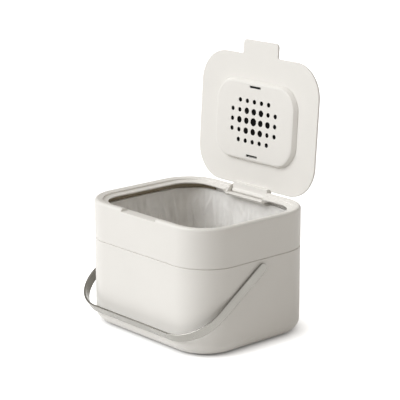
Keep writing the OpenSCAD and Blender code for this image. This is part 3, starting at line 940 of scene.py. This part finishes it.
@dataclass
class Filter:
    """The filter cover with its holes and clip slots, the carbon pad and the gasket behind it."""

    sizes: Sizes
    width: float = 144
    depth: float = 103.5
    height: float = 5.8
    corner: float = 31
    side: float = 6.3
    narrower: float = 0.26
    wall: float = 1.6
    centre_y: float = -0.7
    pitch: float = 12.7
    radii: tuple[float, float, float] = (2.9, 4.1, 5.1)
    slot: tuple[float, float, float] = (19.5, 2.7, 43.8)
    hole_edge: float = 0.35
    hole_flare: float = 1.1
    slot_flare: float = 0.45
    swell: float = 0.04
    # frames of painted shade behind the slots: middle y, the tongue's y, and the half sizes of the opening round the
    # tongue
    slot_shade_frames_y: tuple[tuple[float, float, float, float], ...] = ((-43, -45.1, 9.55, 0.45), (43, 45.0, 9.05, 0.5))

    @property
    def face(self) -> float:
        """Height of the cover's face, with the lid closed."""
        return self.sizes.lid_under - self.height

    def holes(self) -> tuple[Array, Array]:
        """Returns the holes' centres, shape (k, 2), and radii: rows of 5, 7, 7, 7 and 5, wide in the middle."""
        i, j = (a.ravel() for a in np.meshgrid(np.arange(-3, 4), np.arange(-2, 3)))
        keep = np.abs(i) + np.abs(j) < 5
        i, j = i[keep], j[keep]
        small, large, middle = self.radii
        wide = (np.abs(i) + np.abs(j) < 3) & (np.abs(j) < 2)
        radius = np.where((i == 0) & (j == 0), middle, np.where(wide, large, small))
        return np.column_stack([i, j]) * self.pitch, radius

    def cover(self) -> Draft:
        """Returns the cover: sloping sides, pierced face, and the walls of holes and slots."""
        draft = Draft()
        base = self.sizes.lid_under - 0.3
        path = rounded_rectangle(self.width, self.depth, self.corner, arc=26)
        t = self.wall
        slope = math.atan2(base - self.face, self.side)
        edge = self.side + t * math.tan(slope / 2)
        corners = [(-edge - 0.8, self.face + t), (-edge, self.face + t), (-t / math.sin(slope), base), (0, base),
                   (-3.6, base - 4.9), (-self.side, self.face), (-edge - 0.8, self.face)]
        line = section(corners, [0.4, 0.15, 0.25, 1.2, 1.5])
        narrow = 1 - self.narrower * path.normals[:, 1:] ** 2
        skin = swept(path, -line[None, :, 0] * narrow, np.broadcast_to(line[:, 1], (len(narrow), len(line))))
        draft.grid(skin)
        inner, outer = skin[:, :1], skin[:, -1:]
        centres, radius = self.holes()
        turn = np.linspace(0, 2 * np.pi, 29)[:-1]
        ray = np.stack([np.cos(turn), np.sin(turn)], -1)
        rise, fall = quarter(self.hole_edge, 4)
        high = np.append(self.face + t, self.face + fall)
        rings = radius[:, None, None] + np.append(self.hole_flare, rise)
        plan = centres[:, None, None, :] + rings[..., None] * ray[None, :, None, :]
        walls = np.concatenate([plan, np.broadcast_to(high[None, None, :, None], (*plan.shape[:3], 1))], -1)
        for hole in walls:
            draft.grid(hole)
        length, across, y = self.slot
        one = bar(length / 2, across / 2, 0.5, 5)
        slots = [one.moved(0, y), one.moved(0, -y)]
        for slot in slots:
            draft.grid(swept(slot, -np.append(self.slot_flare, rise), high))
        draft.pane([outer[:, -1, :2], *plan[:, :, -1], *(slot.inset(-self.hole_edge) for slot in slots)], self.face)
        draft.pane([inner[:, 0, :2], *plan[:, :, 0], *(slot.inset(-self.slot_flare) for slot in slots)], self.face + t)
        return draft

    def felt(self) -> Draft:
        """Returns the pad: a flat felt with a rounded edge whose faces swell in slow waves, a product of two sines."""
        w, d, t = self.sizes.pad
        path = rounded_rectangle(w, d, self.sizes.pad_corner, arc=12, side=10)
        middle = self.face + self.wall + t / 2
        half = t / 2 - 0.05
        a = np.linspace(-np.pi / 2, np.pi / 2, 7)
        inwards = np.linspace(1.2, 20, 8)[1:]
        insets = np.concatenate([inwards[::-1], 0.6 - 0.6 * np.cos(a), inwards])
        heights = middle + half * np.concatenate([np.full(7, -1), np.sin(a), np.full(7, 1)])
        skin = swept(path, insets, heights)
        skin[..., 2] += self.swell * np.sin(skin[..., 0] * 0.35) * np.cos(skin[..., 1] * 0.4)
        draft = Draft()
        draft.capped(skin)
        return draft

    def slot_shade_frames(self) -> Draft:
        """Returns two flat dark frames behind the slots, each round the tongue that reaches through it: painted shade
        that darkens the slots as a shadowed cavity would.
        """
        draft = Draft()
        ends = self.face + self.wall + np.array([0.1, 2.2])
        for y, tongue_y, w, d in self.slot_shade_frames_y:
            outer, inner = bar(12, 3.2, 0.8, 5).moved(0, y), bar(w, d, 0.3, 5).moved(0, tongue_y)
            draft.hollow(*(swept(edge, np.zeros(2), ends) for edge in (outer, inner)))
        return draft

    def place(self, points: Array) -> Array:
        """Moves points from the cover's middle to where they rest on the open lid."""
        return self.sizes.opened(points + np.array([0, self.centre_y, 0]))

    def build(self, finishes: Finishes) -> None:
        """Makes the cover, the pad and the dark frames of painted shade behind the slots, and paints the gasket."""
        cover = self.cover().build("filter_cover_shell", self.place)
        dress(cover, finishes.shell, Body.COVER, "shell", "filter_cover", even=True)
        felt = self.felt().build("carbon_pad", self.place)
        dress(felt, finishes.carbon, Body.COVER, "carbon", "filter_pad")
        # painted shade: dark frames behind the slots stand in for the shade in the slot cavities
        dress(self.slot_shade_frames().build("slot_painted_shade", self.place), finishes.foam, Body.COVER, "foam")
        repaint(finishes.foam, "filter_gasket")


@dataclass
class Liner:
    """The film bag: folded over the neck, hanging inside in pleats, slack in the corners, flat on the floor."""

    sizes: Sizes
    inset: float = 6.0
    thick: float = 0.25
    flap: float = 5
    foot: float = 4.6
    foot_r: float = 9
    pleat: float = 1.3
    crease: float = 2.0
    crush: float = 1.3
    fine: float = 0.2
    slack: float = 4.2
    flat: tuple[float, float] = (0.74, 0.27)
    area: float = 0.15

    def surface(self) -> Array:
        """Works out the film as a grid round the caddy and down its depth.

        The section runs up the outside of the neck, over it and down inside to near the middle of the floor. The film
        is moved inwards by a sum that grows with the depth below the neck: pleats, which stand along the zeros of
        closed waves, sharp creases along the zeros of shorter ones, the size of a crumple, a fine ripple, and in the
        corners a slack that rises with how far round the corner the point is. Its top edge is wavy, and higher at the
        rear.

        Returns:
            Points of shape (n, m, 3).
        """
        s = self.sizes
        top = s.neck_top + 0.45
        outer = s.neck_inset - 0.35
        corners = [(-outer, top - self.flap), (-outer, top), (-self.inset, top), (-self.inset, self.foot),
                   (-60, self.foot)]
        line = section(corners, [0.3, 0.6, self.foot_r])
        over, foot = line[:17], line[17:25]
        wall = over[-1] + (foot[0] - over[-1]) * np.linspace(0, 1, 74)[1:-1, None]
        floor = foot[-1] + (np.array([-44.0, self.foot]) - foot[-1]) * np.linspace(0, 1, 22)[1:, None]
        line = np.concatenate([over, wall, foot, floor])
        insets, heights = -line[:, 0], line[:, 1]
        path = rounded_rectangle(s.width, s.depth, s.corner, arc=58, side=90)
        step = np.linalg.norm(np.diff(path.points, axis=0, append=path.points[:1]), axis=1)
        around = np.concatenate([[0], np.cumsum(step)[:-1]])
        turn = step.sum()
        u, z = np.meshgrid(around, heights, indexing="ij")
        below = np.clip((top - 0.6 - z) / 26, 0, 1) ** 0.8
        inside = (np.arange(len(insets)) >= 14)[None, :]
        pleats = np.abs(waves(u, z, 18, 5, 7, 26, 0.012, turn))
        crush = waves(u, z, 40, 11, 16, 60, 0.09, turn)
        fine = waves(u, z, 60, 23, 50, 130, 0.22, turn)
        bend = np.abs(path.normals[:, :1] * path.normals[:, 1:]) * 2
        crease = np.clip(1 - 1.6 * np.abs(waves(u, z, 26, 51, 7, 30, 0.10, turn)), 0, 1) ** 2
        fold = (self.pleat * np.clip(1 - pleats, 0, 1) ** 1.6 + self.crease * crease + self.crush * np.abs(crush)
                + self.fine * fine + self.slack * bend**1.5)
        low = np.clip((z - self.foot) / 12, 0.15, 1)
        push = np.where(inside, np.clip(fold, 0, 9) * below * low, 0)
        rim = np.where(inside, 0, 0.10 * waves(u, z, 20, 31, 20, 60, 0.02, turn))
        level = np.zeros_like(z)
        scallop = 0.9 * np.abs(waves(u, level, 14, 41, 8, 30, 0.01, turn)) * np.exp(-(((z - top) / 4) ** 2)) * inside
        skin = swept(path, insets + push + rim, heights)
        rear = np.clip(path.points[:, 1:] / (s.depth / 2) * 4 - 2.6, 0, 1)
        wavy = 0.45 * waves(u, level, 16, 43, 6, 34, 0.01, turn) + 0.5 * rear * rear * (3 - 2 * rear)
        skin[..., 2] += wavy * np.clip((z - top + 14) / 12, 0, 1) - scallop
        flat = np.clip((insets - 14) / 10, 0, 1)[None, :]
        skin[..., 2] += flat * (0.9 * np.abs(crush) + 0.35 * (fine + 1))
        return skin

    def build(self, finishes: Finishes) -> None:
        skin = self.surface()
        draft = Draft()
        n, m = skin.shape[:2]
        draft.grid(skin, spread=(np.linspace(0, 0.72, n + 1), np.linspace(0, 0.26, m)))
        draft.disc(skin[:, -1])
        bag = draft.build("liner_film", closed=False, sharp_deg=80)
        solid = bag.modifiers.new("film", "SOLIDIFY")
        solid.thickness = self.thick * MM
        solid.offset = 1.0
        dress(bag, finishes.film, Body.BUCKET, "film", "liner_bag")
        log.info("liner film: %.4f m2", sum(face.area for face in bag.data.polygons))


@dataclass
class Handle:
    """The strap handle: one flat strip bent into a U, with rounded ends on the pivots."""

    half: float = 116.6
    reach: float = 127.67
    bend: float = 47.7
    strip: tuple[float, float] = (12.5, 1.6)
    edge: float = 1.15
    crown: float = 0.9
    pivot: float = 98
    fold: float = 34.7

    def path(self) -> tuple[Array, Array, Array, Array]:
        """Works out the strip's middle line from one rounded end to the other.

        Straight runs and quarter circles are joined at even steps; in the rounded ends the half width follows a
        circle about the pivot.

        Returns:
            Places across and along the handle (n, 2), normals pointing outwards (n, 2), half widths and lengths.
        """
        bar_points = 48
        r = self.strip[0] / 2
        a = np.radians(np.linspace(10, 90, 13))
        tip = -r * np.cos(a)
        arm = np.concatenate([tip, np.linspace(0, self.reach - self.bend, 40)[1:-1]])
        q = np.linspace(0, np.pi / 2, 34)
        cx, cy = self.half - self.bend, self.reach - self.bend
        right = np.concatenate([np.stack([np.full(len(arm), self.half), arm], -1),
                                np.stack([cx + self.bend * np.cos(q), cy + self.bend * np.sin(q)], -1)])
        out = np.concatenate([np.broadcast_to([1.0, 0.0], (len(arm), 2)), np.stack([np.cos(q), np.sin(q)], -1)])
        bar_x = np.linspace(cx, -cx, bar_points + 2)[1:-1]
        flip = np.array([-1.0, 1.0])
        line = np.concatenate([right, np.stack([bar_x, np.full(bar_points, self.reach)], -1), right[::-1] * flip])
        normal = np.concatenate([out, np.broadcast_to([0.0, 1.0], (bar_points, 2)), out[::-1] * flip])
        wide = np.concatenate([r * np.sin(a), np.full(len(right) - len(a), r)])
        wide = np.concatenate([wide, np.full(bar_points, r), wide[::-1]])
        step = np.concatenate([[0], np.linalg.norm(np.diff(line, axis=0), axis=1)])
        return line, normal, wide, np.cumsum(step)

    def build(self, finishes: Finishes) -> None:
        """Makes the strip: its rounded section at every point of the path, closed by a fan at each end."""
        line, normal, wide, length = self.path()
        hw, ht = self.strip[0] / 2, self.strip[1] / 2
        corners = [(-hw, -ht), (hw, -ht), (hw, ht + self.crown), (-hw, ht + self.crown)]
        profile = rounded(corners, self.edge, 6).points
        across = np.sign(profile[:, 0]) * np.clip(np.abs(profile[:, 0]) - hw + wide[:, None], 0.02, None)
        plan = line[:, None] + profile[None, :, 1:] * normal[:, None]
        f = math.radians(self.fold)
        away, cross = np.array([0, -math.cos(f), -math.sin(f)]), np.array([0, math.sin(f), -math.cos(f)])
        skin = plan[..., :1] * np.array([1.0, 0, 0]) + plan[..., 1:] * away + across[..., None] * cross
        skin = skin + np.array([0, 0, self.pivot])
        girth = np.cumsum(np.concatenate([[0], np.linalg.norm(np.diff(profile, axis=0, append=profile[:1]), axis=1)]))
        draft = Draft()
        draft.capped(skin, loop_u=False, spread=(length * MM, girth * MM))
        dress(draft.build("handle_strip"), finishes.strap, Body.HANDLE, "steel", "handle_strap", even=True)
        repaint(finishes.turned, "stud_left", "stud_right", "stud_clip_left", "stud_clip_right")


# ---- studio ------------------------------------------------------------------------------------


@dataclass
class Studio:
    """Floor, lamp, world and camera."""

    yaw: float = 48.1355
    pitch: float = 14.7845
    distance: float = 1.9206
    target: tuple[float, float, float] = (0.005888, 0.0, 0.159689)
    lens: float = 141.14
    key: float = 2.3
    key_from: tuple[float, float, float] = (-0.33, -0.66, 0.56)
    key_angle: float = 46
    key_colour: Colour = (0.98, 1.0, 1.02)
    ambient: float = 0.36
    ambient_colour: Colour = (1.06, 1.0, 0.91)
    floor_half: float = 4
    floor_glow: float = 0.85
    contact: float = 0.022
    screen: tuple[float, float, float] = (-0.75, -0.25, 0.6)
    screen_level: float = -0.35
    screen_edge: tuple[float, float] = (0.25, 0.7)

    def camera(self) -> None:
        """Places the camera on its sphere round the target and makes it the scene's."""
        yaw, pitch = math.radians(self.yaw), math.radians(self.pitch)
        back = Vector((math.sin(yaw) * math.cos(pitch), -math.cos(yaw) * math.cos(pitch), math.sin(pitch)))
        data = bpy.data.cameras.new("camera")
        data.lens, data.sensor_width, data.sensor_fit = self.lens, 36, "HORIZONTAL"
        data.clip_start, data.clip_end = 0.05, 50
        camera = linked("camera", data)
        camera.location = Vector(self.target) + back * self.distance
        camera.rotation_mode = "QUATERNION"
        camera.rotation_quaternion = (-back).to_track_quat("-Z", "Y")
        bpy.context.scene.camera = camera

    def white_for(self, nodes: Nodes) -> Socket:
        """Returns a socket that is 1 on camera, glossy and transmission rays and 0 on others."""
        path = nodes.node("ShaderNodeLightPath")
        total: Socket = path.outputs["Is Camera Ray"]
        for name in ("Is Glossy Ray", "Is Transmission Ray"):
            total = nodes.maths("MAXIMUM", total, path.outputs[name])
        return total

    def floor(self) -> None:
        """Makes the floor: a matt white that takes shadows, lifted to white by a glow that fades close to the caddy."""
        mesh = bpy.data.meshes.new("floor")
        far = self.floor_half
        mesh.from_pydata([(-far, -far, 0), (far, -far, 0), (far, far, 0), (-far, far, 0)], [], [(0, 1, 2, 3)])
        sheet = Sheet("studio_floor")
        near = sheet.node("ShaderNodeAmbientOcclusion", samples=16, Distance=self.contact)
        lit = sheet.maths("MULTIPLY", self.white_for(sheet), near.outputs["AO"])
        sheet.set(Base_Color=(0.8, 0.8, 0.8, 1), Roughness=0.9, Specular_IOR_Level=0.0, Emission_Color=(1, 1, 1, 1),
                  Emission_Strength=sheet.maths("MULTIPLY", lit, self.floor_glow))
        mesh.materials.append(sheet.material)
        linked("floor", mesh)

    def world(self) -> None:
        """Sets an even world: a soft grey light on the object and plain white behind it.

        Reflections see the white too, but for a grey screen high on the left: the white falls to grey with the
        cosine of the angle from the screen's middle.
        """
        world = bpy.data.worlds.new("studio")
        bpy.context.scene.world = world
        world.use_nodes = True
        nodes = Nodes(world.node_tree)
        spot = nodes.node("ShaderNodeTexCoord").outputs["Generated"]
        cosine = nodes.node("ShaderNodeVectorMath", operation="DOT_PRODUCT")
        cosine.inputs[1].default_value = Vector(self.screen).normalized()
        nodes.join(spot, cosine.inputs[0])
        fall = nodes.span(cosine.outputs["Value"], 1, self.screen_level, *self.screen_edge)
        fall.node.interpolation_type = "SMOOTHSTEP"
        seen = nodes.maths("MAXIMUM", nodes.node("ShaderNodeLightPath").outputs["Is Camera Ray"], fall)
        white = nodes.maths("MULTIPLY", self.white_for(nodes), seen)
        grey = [self.ambient * c for c in self.ambient_colour]
        nodes.join(nodes.mix(white, grey, (1, 1, 1)), nodes.tree.nodes["Background"].inputs["Color"])

    def lamp(self) -> None:
        """Adds the key, a soft distant lamp that shines from its direction towards the caddy."""
        data = bpy.data.lights.new("key", "SUN")
        data.energy, data.color, data.angle = self.key, self.key_colour, math.radians(self.key_angle)
        lamp = linked("key", data)
        lamp.rotation_mode = "QUATERNION"
        lamp.rotation_quaternion = Vector(self.key_from).to_track_quat("Z", "Y")

    def build(self) -> None:
        """Makes everything round the object."""
        bpy.context.scene.view_settings.view_transform = "Standard"
        self.camera()
        self.floor()
        self.world()
        self.lamp()


def main() -> None:
    """Builds the caddy piece by piece, then the studio."""
    logging.basicConfig(level=logging.INFO, format="%(name)s: %(message)s")
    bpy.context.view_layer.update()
    sizes = Sizes()
    finishes = Finishes()
    for part in (Bucket(sizes), Collar(sizes), Lid(sizes), Filter(sizes), Liner(sizes), Handle()):
        part.build(finishes)
        log.info("%s done", type(part).__name__)
    Studio().build()


if __name__ == "__main__":
    main()
